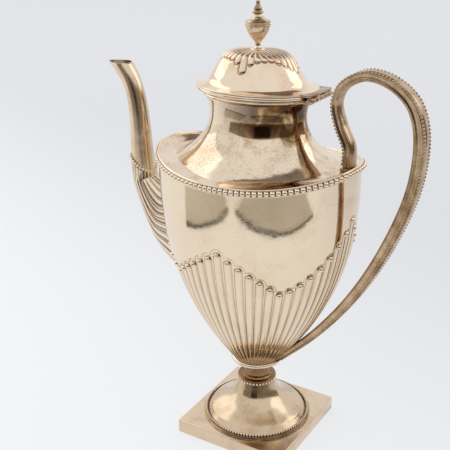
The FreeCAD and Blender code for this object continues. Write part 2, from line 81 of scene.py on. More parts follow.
def rim_level(x):
    """Height of the curved rim at a distance x along the pot."""
    return RIM_LOW + RIM_RISE * (np.abs(x) / HALF_LENGTH) ** RIM_CURVE


def vase_halves(share):
    """Half length and half width of the vase at a share of its height."""
    sides = ((HALF_LENGTH, LENGTH_SWELL), (HALF_WIDTH, WIDTH_SWELL))
    return [BASE_RADIUS + (half - BASE_RADIUS) * (1 - (1 - share) ** swell) for half, swell in sides]


print("rim from", RIM_LOW, "to", RIM_END)

# %% [markdown]
# ## Ways to make a piece
# Round pieces are turned, as on a lathe: one vertex is extruded along half the outline, and the
# line is spun. Oval and bent pieces are a flat grid wrapped round: each corner gets its place from
# a formula. Beads are one small ball, copied along a line. Blocks are cubes with softened edges.


# %% Helpers: lines and spots
def unit(vectors):
    """Rows of vectors, each brought to length one."""
    return vectors / np.linalg.norm(vectors, axis=1)[:, None]


def smooth_line(points, count):
    """Points along a smooth curve through the given points, evenly spread between them."""
    points = np.array(points, float)
    padded = np.vstack([2 * points[0] - points[1], points, 2 * points[-1] - points[-2]])
    where = np.linspace(0, len(points) - 1, count)
    index = np.minimum(where.astype(int), len(points) - 2)
    part = (where - index)[:, None]
    a, b, c, d = (padded[index + i] for i in range(4))
    bend = (2 * a - 5 * b + 4 * c - d) * part**2 + (3 * b - a - 3 * c + d) * part**3
    return b + 0.5 * ((c - a) * part + bend)


def even_spots(path, count, closed=True):
    """Spread a number of spots evenly along a path of points."""
    if closed:
        path = np.vstack([path, path[:1]])
    along = np.r_[0, np.cumsum(np.linalg.norm(np.diff(path, axis=0), axis=1))]
    want = np.linspace(0, along[-1], count, endpoint=not closed)
    return np.stack([np.interp(want, along, path[:, i]) for i in range(3)], axis=1)


def oval(turn, length, width, level):
    """Spots on an oval round the upright axis."""
    return np.stack([length * np.cos(turn), width * np.sin(turn), level + 0 * turn], axis=1)


def ring_spots(radius, level, count):
    """Spots evenly round the upright axis."""
    return oval(np.linspace(0, FULL_TURN, count, endpoint=False), radius, radius, level)


def outline_mm(points, height, radius=0):
    """Outline in metres from (radius, height) points in millimetres beyond a radius and a height."""
    return [(radius + r * MM, height + z * MM) for r, z in points]


# %% Helpers: picking, joining and tidying
def pick(*pieces):
    """Select some pieces and nothing else. The first becomes the active one."""
    bpy.ops.object.select_all(action="DESELECT")
    for piece in pieces:
        piece.select_set(True)
    if pieces:
        bpy.context.view_layer.objects.active = pieces[0]


def named(name):
    """Name the active piece and its mesh."""
    piece = bpy.context.object
    piece.name = piece.data.name = name
    return piece


def joined(name, parts):
    """Join several meshes into one piece."""
    pick(*parts)
    bpy.ops.object.join()
    print(name, len(parts), "parts joined")
    return named(name)


def edit_mesh(on):
    """Start or end the editing of the active piece's mesh."""
    bpy.ops.object.mode_set(mode="EDIT" if on else "OBJECT")


def tidy_mesh(piece):
    """Close seams and poles, and point the faces outwards."""
    pick(piece)
    edit_mesh(True)
    bpy.ops.mesh.select_all(action="SELECT")
    bpy.ops.mesh.remove_doubles(threshold=0.002 * MM)
    bpy.ops.mesh.dissolve_degenerate(threshold=0.001 * MM)
    bpy.ops.mesh.normals_make_consistent(inside=False)
    edit_mesh(False)
    print(piece.name, len(piece.data.polygons), "faces")
    return piece


def soften(piece, radius, segments):
    """Round the sharp edges of the active piece."""
    edge = piece.modifiers.new("soften", "BEVEL")
    edge.width, edge.segments, edge.limit_method = radius, segments, "ANGLE"
    bpy.ops.object.modifier_apply(modifier="soften")
    return piece


# %% Helpers: wrapped, turned, beaded and boxed pieces
def wrapped(name, columns, rows, place):
    """Wrap a flat grid: place(turn, row) gives each corner's spot and how deep in a hollow it is."""
    pick()
    bpy.ops.mesh.primitive_grid_add(x_subdivisions=columns, y_subdivisions=rows, size=1)
    piece = named(name)
    flat = np.empty(len(piece.data.vertices) * 3)
    piece.data.vertices.foreach_get("co", flat)
    flat = flat.reshape(-1, 3)
    turn = (flat[:, 0] + 0.5) * FULL_TURN
    row = np.rint((flat[:, 1] + 0.5) * rows).astype(int)
    spots, hollow = place(turn, row)
    piece.data.vertices.foreach_set("co", spots.ravel())
    mark = piece.data.attributes.new("hollow", "FLOAT", "POINT")
    mark.data.foreach_set("value", np.broadcast_to(hollow, len(flat)).astype(np.float32))
    piece.data.update()
    return tidy_mesh(piece)


def turned(name, outline, steps=128):
    """Turn a round piece: extrude a vertex along (radius, height) points, then spin the line."""
    pick()
    bpy.ops.mesh.primitive_plane_add(size=MM)
    piece = named(name)
    edit_mesh(True)
    bpy.ops.mesh.select_mode(type="VERT")
    bpy.ops.mesh.select_all(action="SELECT")
    bpy.ops.mesh.merge(type="CENTER")
    outline = [Vector((r, 0, z)) for r, z in outline]
    bpy.ops.transform.translate(value=outline[0])
    for start, end in zip(outline, outline[1:]):
        bpy.ops.mesh.extrude_region_move(TRANSFORM_OT_translate={"value": end - start})
    bpy.ops.mesh.select_all(action="SELECT")
    bpy.ops.mesh.spin(steps=steps, angle=FULL_TURN, center=(0, 0, 0), axis=(0, 0, 1))
    edit_mesh(False)
    return tidy_mesh(piece)


def bead_row(name, spots, radius, segments=10, rings=6):
    """One small ball, copied to each spot with a mesh of its own, and joined."""
    pick()
    bpy.ops.mesh.primitive_uv_sphere_add(segments=segments, ring_count=rings, radius=radius)
    ball = bpy.context.object
    beads = []
    for spot in spots:
        bead = ball.copy()
        bead.data = ball.data.copy()
        bead.data.transform(Matrix.Translation(Vector(spot)))
        scene.collection.objects.link(bead)
        beads.append(bead)
    bpy.data.objects.remove(ball)
    return joined(name, beads)


def wire_along(name, path, radius, sides=10):
    """A round wire along a closed path of points: a grid wrapped into a tube."""
    ahead = unit(np.roll(path, -1, axis=0) - np.roll(path, 1, axis=0))
    side = unit(np.cross(ahead, (0, 0, 1)))
    lift = np.cross(side, ahead)

    def place(turn, row):
        at = row % len(path)
        reach = np.cos(turn)[:, None] * side[at] + np.sin(turn)[:, None] * lift[at]
        return path[at] + radius * reach, 0.0

    return wrapped(name, sides, len(path), place)


def block(name, low, high):
    """Box between two corners."""
    low, high = Vector(low), Vector(high)
    pick()
    bpy.ops.mesh.primitive_cube_add(size=1, location=(low + high) / 2, scale=high - low)
    bpy.ops.object.transform_apply()
    return named(name)


def softened_box(name, low, high, radius, segments=2):
    """Box between two corners with rounded edges."""
    return soften(block(name, low, high), radius, segments)


# %% [markdown]
# ## The vase with its reeds
# The lower half of the vase is chased with long convex reeds that run together at the stem. Their
# tips climb to a point at each side and at each end. To keep them even, each corner of the wrapped
# grid is pushed in by its distance from the nearest reed's middle: most in the groove.

# %% Lobes: reeds and petals
LEAST_HALF = 0.05 * MM


def lobes(turn, length, width, along, tip, count, border):
    """Depth of a ring of convex lobes, from 0 on a ridge to 1 in a groove, and half a lobe's width.

    The lobes are counted from the middle of a side. Each has a round end, and tip(number) says how
    far along that is. A soft border lies round the ends.
    """
    lobe_turn = FULL_TURN / count
    half = np.hypot(length * np.sin(turn), width * np.cos(turn)) * lobe_turn / 2
    half = np.maximum(half, LEAST_HALF)
    number = np.rint((turn - math.pi / 2) / lobe_turn)
    deepest = np.zeros_like(turn)
    for step in (-1, 1, 0):
        lobe = number + step
        across = (turn - math.pi / 2 - lobe * lobe_turn) / lobe_turn * 2 * half
        reach = np.hypot(across, np.maximum(along - (tip(lobe) - half), 0)) / half
        ridge = 1 - np.sqrt(np.clip(1 - reach**2, 0, 1))
        depth = np.where(reach < 1, ridge, np.exp(-(((reach - 1) / border) ** 2)))
        deepest = np.where((step == 0) & (reach < 1), depth, np.maximum(deepest, depth))
    return deepest, half


# %% Reeds of the vase
REEDS = 56
REED_GROOVE, REED_BORDER = 0.6, 0.3
SIDE_TIP, DIP_TIP, END_TIP = 166.0 * MM, 139.5 * MM, 186.3 * MM
DIP_REED = 6
QUARTER = REEDS // 4


def reed_tip(reed):
    """Height of a reed's tip, from its number counted from the middle of a side."""
    along = np.abs((reed + QUARTER) % (2 * QUARTER) - QUARTER)
    fall = SIDE_TIP + (DIP_TIP - SIDE_TIP) * along / DIP_REED
    climb = np.maximum(along - DIP_REED, 0) / (QUARTER - DIP_REED)
    return np.where(along <= DIP_REED, fall, DIP_TIP + (END_TIP - DIP_TIP) * climb**1.4)


# %% The vase
OUTSIDE_ROWS = 128
INSIDE_ROWS = 14
row_share = np.r_[
    0, np.linspace(0, 0.45, 36), np.linspace(0.46, 0.86, 72), np.linspace(0.88, 1, 20),
    np.linspace(1, 0.02, INSIDE_ROWS), 0.01,
]
row_inset = np.r_[np.zeros(OUTSIDE_ROWS + 1), np.full(INSIDE_ROWS + 1, SHEET)]
row_reach = np.r_[0, np.ones(OUTSIDE_ROWS + INSIDE_ROWS), 0]


def vase_place(turn, row):
    share, inset, reach = row_share[row], row_inset[row], row_reach[row]
    top = rim_level(HALF_LENGTH * np.cos(turn)) - SHEET
    level = BODY_BASE + (top - BODY_BASE) * share
    length, width = vase_halves(np.minimum((level - BODY_BASE) / BODY_RISE, 1))
    depth, half = lobes(turn, length, width, level, reed_tip, REEDS, REED_BORDER)
    depth = np.where(inset > 0, 0, depth)
    sink = inset + depth * half * REED_GROOVE
    level = level + np.where(inset > 0, SHEET * (1 - share), 0)
    spots = oval(turn, length, width, level) - sink[:, None] * unit(oval(turn, width, length, 0))
    spots[:, :2] *= reach[:, None]
    return spots, depth


vase = wrapped("vase", REEDS * 10, len(row_share) - 1, vase_place)

# %% [markdown]
# Each reed ends in a small round knob. It is one ball, copied to the tips and sunk into them.

# %% Knobs on the reed tips
KNOB_RADIUS, KNOB_DROP, KNOB_SINK = 2.1 * MM, 0.75, 0.35
turn = math.pi / 2 + np.arange(REEDS) * FULL_TURN / REEDS
tip = reed_tip(np.arange(REEDS))
length, width = vase_halves((tip - BODY_BASE) / BODY_RISE)
half = np.hypot(length * np.sin(turn), width * np.cos(turn)) * math.pi / REEDS
sink = half[:, None] * KNOB_SINK * unit(oval(turn, width, length, 0))
spots = oval(turn, length, width, tip - half * KNOB_DROP) - sink
reed_knobs = bead_row("reed_knobs", spots, KNOB_RADIUS, 16, 10)

# %% [markdown]
# ## Shoulder and neck
# The shoulder is a hollow ring: its outer edge follows the curved rim, and inside it the surface
# dips before it sweeps up into the waisted neck. Shoulder and neck are one smooth skin, with an
# inner skin that shows when the lid is open.

# %% Shoulder and neck
RIM_HALVES, NECK_FOOT = np.array(BODY_HIGH.xy), np.array(NECK_HIGH.xy)
NECK_WAIST, NECK_TOP = np.array((34.6, 25.6)) * MM, np.array((38.2, 27.8)) * MM
NECK_HEIGHT = NECK_HIGH.z - NECK_LOW.z
WAIST_SHARE, NECK_FLARE, SHOULDER_HOLLOW = 0.74, 2.3, 9.0 * MM
SHOULDER_SHARES = (0, 0.15, 0.3, 0.45, 0.6, 0.75, 0.9)
NECK_SHARES = (0.03, 0.09, 0.16, 0.25, 0.36, 0.48, 0.61, WAIST_SHARE, 0.87, 1)
SKIN_ROWS, SKIN_COLUMNS = 72, 192


def neck_halves(share):
    """Half length and half width of the neck at a share of its height."""
    if share < WAIST_SHARE:
        swell, end = (1 - share / WAIST_SHARE) ** NECK_FLARE, NECK_FOOT
    else:
        swell, end = ((share - WAIST_SHARE) / (1 - WAIST_SHARE)) ** 2, NECK_TOP
    return NECK_WAIST + (end - NECK_WAIST) * swell


def skin_curves(turn):
    """Rows of the shoulder and neck, from the rim up to the mouth."""
    rim = rim_level(HALF_LENGTH * np.cos(turn))
    curves = []
    for share in SHOULDER_SHARES:
        halves = RIM_HALVES + (NECK_FOOT - RIM_HALVES) * share
        climb = share**2 * (3 - 2 * share) + 0.4 * share * (1 - share) ** 2
        level = rim + (NECK_LOW.z - rim) * climb - SHOULDER_HOLLOW * share**2 * (1 - share)
        curves.append(oval(turn, *halves, level))
    for share in NECK_SHARES:
        curves.append(oval(turn, *neck_halves(share), NECK_LOW.z + NECK_HEIGHT * share))
    return np.array(curves)


curves = skin_curves(np.linspace(0, FULL_TURN, SKIN_COLUMNS + 1))
skin = smooth_line(curves.reshape(len(curves), -1), SKIN_ROWS).reshape(SKIN_ROWS, -1, 3)
# The inner skin is set in by the sheet, and set down by it more and more towards the rim
inner = skin[::-1].copy()
inner[:, :, :2] *= 1 - SHEET / np.linalg.norm(inner[:, :, :2], axis=2, keepdims=True)
inner[:, :, 2] -= SHEET * np.clip(np.arange(SKIN_ROWS) / SKIN_ROWS * 1.6 - 0.3, 0, 1)[:, None]
skin = np.concatenate([skin, inner, skin[:1]])


def skin_place(turn, row):
    column = np.rint(turn / FULL_TURN * SKIN_COLUMNS).astype(int)
    return skin[row, column], 0.0


shoulder_neck = wrapped("shoulder_neck", SKIN_COLUMNS, len(skin) - 1, skin_place)

# %% [markdown]
# ## Beads and wires on the rim
# A row of beads hides the joint between vase and shoulder. It lies in a dark bed between two fine
# wires, and all of them follow the curved rim.

# %% Rim beads, bed and wires
RIM_BEADS, RIM_BEAD = 110, 1.85 * MM
BEAD_DROP, WIRE_DROP = 1.7 * MM, 3.8 * MM
around = np.linspace(0, FULL_TURN, 240, endpoint=False)


def rim_path(outside, drop):
    """Path round the rim, a distance outside the body and a drop below the rim."""
    level = rim_level(HALF_LENGTH * np.cos(around)) - drop
    return oval(around, HALF_LENGTH + outside, HALF_WIDTH + outside, level)


rim_beads = bead_row("rim_beads", even_spots(rim_path(1.2 * MM, BEAD_DROP), RIM_BEADS), RIM_BEAD, 14, 8)
# The dark beds are tarnish and painted shade: they darken the gaps between the beads
rim_bed = wire_along("rim_bed", rim_path(0.1 * MM, BEAD_DROP), 1.6 * MM)
rim_upper_wire = wire_along("rim_upper_wire", rim_path(-0.1 * MM, 0), 0.9 * MM, 14)
rim_lower_wire = wire_along("rim_lower_wire", rim_path(0.5 * MM, WIRE_DROP), 0.65 * MM)

# %% [markdown]
# ## Mouth rim
# Two rounded bands are stacked under the lid. An oval can't be spun, so the outline's points carry
# a half length and a half width, and the grid goes round them.

# %% Mouth rim
# Half length, half width and height against the lip, in millimetres
mouth_outline = np.array([
    (36.7, 25.4, -5.8), (38.3, 27.9, -5.8), (39.3, 28.6, -5.5), (39.9, 29.1, -4.7), (39.7, 28.9, -3.9),
    (39.3, 28.6, -3.6), (40.2, 29.2, -3.4), (42.4, 30.5, -2.9), (43.7, 31.3, -2.2), (44.1, 31.6, -1.4),
    (44.0, 31.5, -0.6), (43.5, 31.2, 0), (36.9, 25.6, 0), (36.7, 25.4, -0.3), (36.7, 25.4, -5.8),
]) * MM + (0, 0, MOUTH_TOP)


def mouth_place(turn, row):
    return oval(turn, *mouth_outline[row].T), 0.0


mouth_rim = wrapped("mouth_rim", 192, len(mouth_outline) - 1, mouth_place)

# %% [markdown]
# ## Plinth
# The plinth is a shallow square box, open below. A cube's lower face is inset and pushed up to
# hollow it, the edges are softened with a bevel, and a round hole is cut under the foot.

# %% Plinth
PLINTH_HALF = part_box("plinth_apron")[1].x
PLINTH_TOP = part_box("plinth_top")[1].z
PLINTH_HOLE = 30 * MM
plinth = block("plinth", (-PLINTH_HALF, -PLINTH_HALF, 0), (PLINTH_HALF, PLINTH_HALF, PLINTH_TOP))
edit_mesh(True)
bpy.ops.mesh.select_mode(type="FACE")
bpy.ops.mesh.select_all(action="DESELECT")
edit_mesh(False)
for face in plinth.data.polygons:
    face.select = face.normal.z < -0.5
edit_mesh(True)
bpy.ops.mesh.inset(thickness=SHEET * 1.5, depth=0)
bpy.ops.mesh.extrude_region_move(TRANSFORM_OT_translate={"value": (0, 0, PLINTH_TOP - 2 * SHEET)})
edit_mesh(False)
soften(plinth, 0.5 * MM, 3)
bpy.ops.mesh.primitive_cylinder_add(
    vertices=96, radius=PLINTH_HOLE, depth=PLINTH_TOP, location=(0, 0, PLINTH_TOP),
)
drill = bpy.context.object
pick(plinth)
hole = plinth.modifiers.new("hole", "BOOLEAN")
hole.operation, hole.object = "DIFFERENCE", drill
bpy.ops.object.modifier_apply(modifier="hole")
bpy.data.objects.remove(drill)
tidy_mesh(plinth)

# %% [markdown]
# ## Foot and stem
# The foot, collar, stem and dish are round, so each is turned from its outline. The foot spreads
# like a trumpet from the collar down to its row of beads.

# %% Foot
foot_low, foot_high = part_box("foot_dome")
FOOT_EDGE, FOOT_BASE, COLLAR_BASE = foot_high.x, foot_low.z, foot_high.z
FOOT_NECK = 13.0 * MM
FOOT_BEADS, FOOT_BEAD = 112, 0.94 * MM
# Share of the way out from the neck, and share of the height
foot_shape = np.array([
    (1, 0), (0.96, 0.04), (0.9, 0.1), (0.82, 0.17), (0.58, 0.3), (0.34, 0.46), (0.14, 0.68), (0, 1),
])
foot_side = foot_shape * (FOOT_EDGE - FOOT_NECK, COLLAR_BASE - FOOT_BASE) + (FOOT_NECK, FOOT_BASE)
foot_outside = list(smooth_line(foot_side, 44))
foot_inside = [(r - SHEET, max(z - SHEET, FOOT_BASE)) for r, z in foot_outside[::-1]]
foot_dome = turned("foot_dome_skin", foot_outside + foot_inside + foot_outside[:1], 160)
rim_r, rim_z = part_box("foot_rim")[1].x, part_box("foot_rim")[0].z
bore = FOOT_EDGE - 2 * SHEET
moulding_edge = outline_mm([(-0.3, 0), (0, 0.4), (0, 1.1), (-0.5, 1.6)], rim_z, rim_r)
moulding_top = [(rim_r - 0.7 * MM, FOOT_BASE), (FOOT_EDGE, FOOT_BASE + 0.2 * MM), (bore, FOOT_BASE)]
foot_moulding = turned("foot_moulding", [(bore, rim_z), *moulding_edge, *moulding_top, (bore, rim_z)], 160)
spots = ring_spots(FOOT_EDGE + 0.75 * MM, FOOT_BASE + FOOT_BEAD, FOOT_BEADS)
foot_beads = bead_row("foot_beads", spots, FOOT_BEAD, 8, 6)
foot_bed = wire_along("foot_bed", spots - (0, 0, 0.1 * MM), 0.66 * MM)


# %% Collar and stem
def roll(reach, middle, radius, span=1.4, count=9):
    """Rounded roll that bulges out to a reach at a middle height, from below to above."""
    turns = np.linspace(-span, span, count)
    return [(reach - radius * (1 - math.cos(a)), middle + radius * math.sin(a)) for a in turns]


COLLAR_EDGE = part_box("stem_collar")[1].x
COLLAR_BEADS, COLLAR_BEAD = 36, 1.05 * MM
STEM_BASE, STEM_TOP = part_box("stem_tube")[0].z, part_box("stem_tube")[1].z
DISH_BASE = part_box("body_dish")[0].z
STEM_BORE, STEM_FOOT = 8.4, 11.4
collar_low = outline_mm([(STEM_BORE, 0), (12.4, 0), (12.6, 1.6)], COLLAR_BASE)
collar_roll = roll(COLLAR_EDGE, STEM_BASE - 1.2 * MM, 1.0 * MM)
collar_top = outline_mm([(12.4, -0.4), (STEM_FOOT, 0), (STEM_BORE, 0)], STEM_BASE)
collar = turned("collar", collar_low + collar_roll + collar_top + collar_low[:1], 96)
spots = ring_spots(COLLAR_EDGE - 0.6 * MM, COLLAR_BASE + COLLAR_BEAD, COLLAR_BEADS)
collar_beads = bead_row("collar_beads", spots, COLLAR_BEAD)
collar_bed = wire_along("collar_bed", spots * (0.98, 0.98, 1), 0.75 * MM)
stem_low = outline_mm([(STEM_FOOT, 0), (10.5, 1.2), (9.9, 3.5)], STEM_BASE)
stem_side = smooth_line(stem_low + outline_mm([(9.9, -2), (10.5, 0)], STEM_TOP), 16)
bulge = (DISH_BASE - STEM_TOP) / 2
ring_side = roll(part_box("stem_ring")[1].x, STEM_TOP + bulge, bulge, math.pi / 2, 11)
stem_end = [(STEM_BORE * MM, DISH_BASE), (STEM_BORE * MM, STEM_BASE), stem_low[0]]
stem_skin = turned("stem", [*stem_side, *ring_side, *stem_end], 96)

# %% Dish under the vase
dish_roll = roll(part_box("body_dish")[1].x, BODY_BASE - 0.6 * MM, 2.0 * MM)
dish_under = outline_mm([(0, 0), (10.3, 0), (14, 0.6)], DISH_BASE)
dish = turned("dish", dish_under + dish_roll + [(BASE_RADIUS - MM, BODY_BASE), (0, BODY_BASE)])

# %% [markdown]
# ## Spout
# The spout is a reeded root that grows out of the vase, a slanted band of beads, and a smooth tube
# that leans out to a level, pointed mouth. Root and tube are wrapped grids with an oval in each row.

# %% Spout lines
# Along the pot, above the vase's base, and radius, in millimetres
tube_line = np.array([
    (-97.9, 122.0, 9.2), (-98.4, 130.2, 8.9), (-99.4, 147.2, 8.3), (-99.9, 162.2, 7.7),
    (-100.9, 177.2, 7.2), (-103.2, 190.2, 6.9), (-107.2, 200.2, 7.1), (-113.0, 208.0, 7.7),
    (-118.25, 214.7, 8.2), (-123.8, 220.5, 8.6),
]) * MM + (0, BODY_BASE, 0)
# The same for the outer side, then for the inner side, and half width
root_line = np.array([
    (-108.2, 150.0, -90.8, 150.0, 8.3), (-106.9, 130.2, -89.5, 130.2, 8.9),
    (-103.9, 116.2, -87.0, 126.2, 9.8), (-92.0, 86.7, -77.0, 120.7, 12.0),
    (-78.0, 67.0, -70.0, 119.7, 13.0), (-46.0, 44.0, -54.0, 119.2, 14.0),
]) * MM + (0, BODY_BASE, 0, BODY_BASE, 0)
MOUTH_LEVEL = 210.9 * MM + BODY_BASE
BAND_X, BAND_MIDDLE, BAND_SLOPE = -98.8 * MM, 137.6 * MM + BODY_BASE, 0.66


def band_level(x):
    """Height of the slanted band of beads: high outside, low towards the pot."""
    return BAND_MIDDLE - BAND_SLOPE * (x - BAND_X)


def below_band(spots):
    """From 0 above the band to 1 a millimetre or more below it."""
    return np.clip((band_level(spots[:, 0]) - spots[:, 2]) / MM, 0, 1)


# %% Spout root
ROOT_REEDS, ROOT_ROWS = 22, 80
REED_BEND, BEND_ROWS = 0.38, (8, 66)
ROOT_CREST, ROOT_GROOVE, ROOT_HIDE = 0.8 * MM, 0.42, 0.6 * MM
END_ROUND, ROOT_CREASE = 0.9, 0.6
sections = smooth_line(root_line, ROOT_ROWS)


def root_place(turn, row):
    low_x, low_z, high_x, high_z, half_width = sections[row].T
    reed = np.abs((turn / FULL_TURN * ROOT_REEDS + 0.5) % 1 - 0.5) * 2
    # The reeds drop steeply from the band and then level out towards the vase
    bend = np.clip((row - BEND_ROWS[0]) / (BEND_ROWS[1] - BEND_ROWS[0]), 0, 1)
    turn = turn + REED_BEND * np.sin(math.pi * bend) * np.sin(turn)
    cos, sin = np.cos(turn), np.sin(turn)
    along_x, along_z = (high_x - low_x) / 2, (high_z - low_z) / 2
    half = np.hypot(along_x, along_z)
    local = np.hypot(half * sin, half_width * cos) * math.pi / ROOT_REEDS
    plain = np.stack([
        (low_x + high_x) / 2 + along_x * cos, half_width * sin, (low_z + high_z) / 2 + along_z * cos,
    ], axis=1)
    # A reed's end is round where it comes close to the vase
    length, width = vase_halves(np.clip((plain[:, 2] - BODY_BASE) / BODY_RISE, 0.01, 1))
    to_vase = (np.hypot(plain[:, 0] / length, plain[:, 1] / width) - 1) * length
    end = np.maximum(1 - to_vase / local, 0) * END_ROUND
    depth = 1 - np.sqrt(np.clip(1 - reed**2 - end**2, 0, 1))
    shown = below_band(plain)
    lift = np.where(shown > 0, shown * (ROOT_CREST - ROOT_GROOVE * depth * local), -ROOT_HIDE)
    flat = half_width * cos / half
    out = unit(np.stack([along_x * flat, half * sin, along_z * flat], axis=1))
    # The reeds' depth is also the hollow value: painted shade on their flanks, tarnish and painted shade in
    # their grooves
    return plain + out * lift[:, None], ROOT_CREASE * depth * shown


spout_root = wrapped("spout_root_reeded", ROOT_REEDS * 12, ROOT_ROWS - 1, root_place)

# %% Spout tube and mouth
TUBE_ROWS, TUBE_STEPS, TUBE_WALL = 70, 400, 0.9 * MM
LIP_LENGTH, LIP_NARROW = 24 * MM, 0.42
BAND_SINK, INSIDE_CREASE = 0.06, 0.8
FIRST_LIP_STEP, HALVINGS = 120.0, 30
tube_path = smooth_line(tube_line, TUBE_STEPS)
tube_ahead = unit(np.gradient(tube_path[:, :2], axis=0))


def tube_spot(turn, step, inset):
    """Spot on the tube at a step along its line, pointed towards the mouth's outer end."""
    steps = np.arange(TUBE_STEPS)
    x, z, radius = (np.interp(step, steps, tube_path[:, i]) for i in range(3))
    ahead_x, ahead_z = (np.interp(step, steps, tube_ahead[:, i]) for i in range(2))
    radius = radius - inset
    near_mouth = np.clip((z - (MOUTH_LEVEL - LIP_LENGTH)) / LIP_LENGTH, 0, 1) ** 2
    outer = (1 - np.cos(turn)) / 2
    narrow = 1 - LIP_NARROW * near_mouth * outer**2
    reach = radius * np.cos(turn)
    return np.stack([x + ahead_z * reach, radius * narrow * np.sin(turn), z - ahead_x * reach], axis=1)


def mouth_step(turn, inset):
    """Step along the tube's line at which its side reaches the level mouth, by halving."""
    low, high = np.full_like(turn, FIRST_LIP_STEP), np.full_like(turn, TUBE_STEPS - 1.0)
    for _ in range(HALVINGS):
        step = (low + high) / 2
        under = tube_spot(turn, step, inset)[:, 2] < MOUTH_LEVEL
        low, high = np.where(under, step, low), np.where(under, high, step)
    return low


def tube_place(turn, row):
    # The rows go up the outside, come down the inside and close at the first outside row
    inside = (row > TUBE_ROWS) & (row < 2 * TUBE_ROWS + 2)
    inset = np.where(inside, TUBE_WALL, 0)
    climb = np.where(inside, 2 * TUBE_ROWS + 1 - row, row % (2 * TUBE_ROWS + 2)) / TUBE_ROWS
    spots = tube_spot(turn, mouth_step(turn, inset) * climb, inset)
    middle = spots * (0, 0, 1) + (BAND_X, 0, 0)
    sink = BAND_SINK * below_band(spots)
    # The inside of the tube gets a high hollow value: painted shade and tarnish inside the spout
    return spots + (middle - spots) * sink[:, None], np.where(inside, INSIDE_CREASE, 0)


spout_tube = wrapped("spout_tube_skin", 72, 2 * TUBE_ROWS + 2, tube_place)

# %% Bead band of the spout
BAND_BEADS, BAND_RADIUS, BAND_BEAD = 27, 9.35 * MM, 1.2 * MM
BED_SHARE = 0.95
band_path = ring_spots(BAND_RADIUS, 0, 360)
band_path[:, 2] = band_level(BAND_X + band_path[:, 0])
bed_path = band_path[::3] * (BED_SHARE, BED_SHARE, 1) + (BAND_X, 0, 0)
spout_beads = bead_row("spout_beads", even_spots(band_path + (BAND_X, 0, 0), BAND_BEADS), BAND_BEAD)
spout_wire = wire_along("spout_wire", bed_path, 0.7 * MM, 8)

# %% [markdown]
# ## Handle
# The handle is one long bar, bent in a loop and tapered to its lower end. Its outer face is a little
# raised between two rows of beads, its sides are hollowed, and its inner face is round. The
# section's outline is drawn once and carried along the handle's line.

# %% Handle
# Along the pot, above the vase's base, and thickness, in millimetres
handle_line = np.array([
    (67.8, 160.5, 7.6), (67.6, 173.2, 6.9), (61.3, 187.2, 6.4), (58.0, 201.2, 5.8), (63.5, 213.2, 6.5),
    (78.0, 220.0, 7.0), (95.5, 215.4, 7.8), (108.5, 202.7, 8.6), (113.6, 180.2, 8.8), (109.8, 147.2, 8.6),
    (95.0, 106.2, 8.3), (74.5, 67.7, 7.4), (49.0, 33.4, 6.0), (18.2, 1.2, 3.8),
]) * MM + (0, BODY_BASE, 0)
HANDLE_ROWS = 220
HANDLE_WIDTH, HANDLE_END_WIDTH, TAPER_TOP = 11.0 * MM, 7.4 * MM, 80 * MM + BODY_BASE
# Half the section: share of the half thickness outwards, and share of the half width across
half_section = [
    (1.0, 0), (0.98, 0.45), (0.86, 0.62), (0.78, 0.78), (0.6, 0.94), (0.3, 0.86), (-0.1, 0.82),
    (-0.45, 0.88), (-0.72, 0.78), (-0.92, 0.5), (-1.0, 0),
]
handle_section = smooth_line(half_section + [(out, -across) for out, across in half_section[-2::-1]], 61)
SECTION_STEPS = len(handle_section) - 1
SHADE_AND_TARNISH_ACROSS, SHADE_AND_TARNISH_FADE = 0.72, 8
bar = smooth_line(handle_line, HANDLE_ROWS)
bar_ahead = unit(np.gradient(bar[:, :2], axis=0))
bar_half_width = np.interp(bar[:, 1], [BODY_BASE, TAPER_TOP], [HANDLE_END_WIDTH / 2, HANDLE_WIDTH / 2])


def bar_spots(at, out, across):
    """Spots beside the handle's line: a distance outwards and a distance across."""
    x, z = bar[at, 0] - bar_ahead[at, 1] * out, bar[at, 1] + bar_ahead[at, 0] * out
    return np.stack([x, across, z], axis=1)


def handle_place(turn, row):
    at = np.clip(row - 1, 0, HANDLE_ROWS - 1)
    outward, across = handle_section[np.rint(turn / FULL_TURN * SECTION_STEPS).astype(int)].T
    # The first and the last row close the ends
    closed = np.where((row == 0) | (row == HANDLE_ROWS + 1), 0, 1)
    spots = bar_spots(at, outward * bar[at, 2] / 2 * closed, across * bar_half_width[at] * closed)
    # Beside the beads, on the outer face, the hollow value paints shade and tarnish into the colour
    shade_and_tarnish = np.clip(0.9 - np.abs(np.abs(across) - SHADE_AND_TARNISH_ACROSS) * SHADE_AND_TARNISH_FADE, 0, 1)
    return spots, shade_and_tarnish * (outward > 0.5)


handle_bar = wrapped("handle_bar", SECTION_STEPS, HANDLE_ROWS + 1, handle_place)

# %% Handle beads and pad
HANDLE_BEADS, HANDLE_BEAD = 148, 1.0 * MM
BEAD_OUT, BEAD_SINK, BEAD_INSET = 0.96, 0.55 * MM, 0.8 * MM
bead_rows = []
for name, side in (("handle_beads_near", -1), ("handle_beads_far", 1)):
    at = np.arange(3, HANDLE_ROWS - 2)
    path = bar_spots(at, bar[at, 2] / 2 * BEAD_OUT - BEAD_SINK, side * (bar_half_width[at] - BEAD_INSET))
    bead_rows.append(bead_row(name, even_spots(path, HANDLE_BEADS, closed=False), HANDLE_BEAD, 8, 6))
handle_pad = softened_box("handle_foot", *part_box("handle_pad"), 0.5 * MM, 3)

# %% [markdown]
# ## Lid
# The lid flares out to a thin edge and rises like a bell, with petals that radiate from the finial.
# Petals are lobes like the reeds. The rows go up the outside and come back under it, so the lid
# has a wall.

# %% Lid outline
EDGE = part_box("lid_edge")[1] / MM
CROWN_LENGTH, CROWN_WIDTH, CROWN_BASE, CROWN_HEIGHT = 25.6, 19.0, 18.6, 5.65
LID_ROWS, LID_WALL = 121, 1.0 * MM
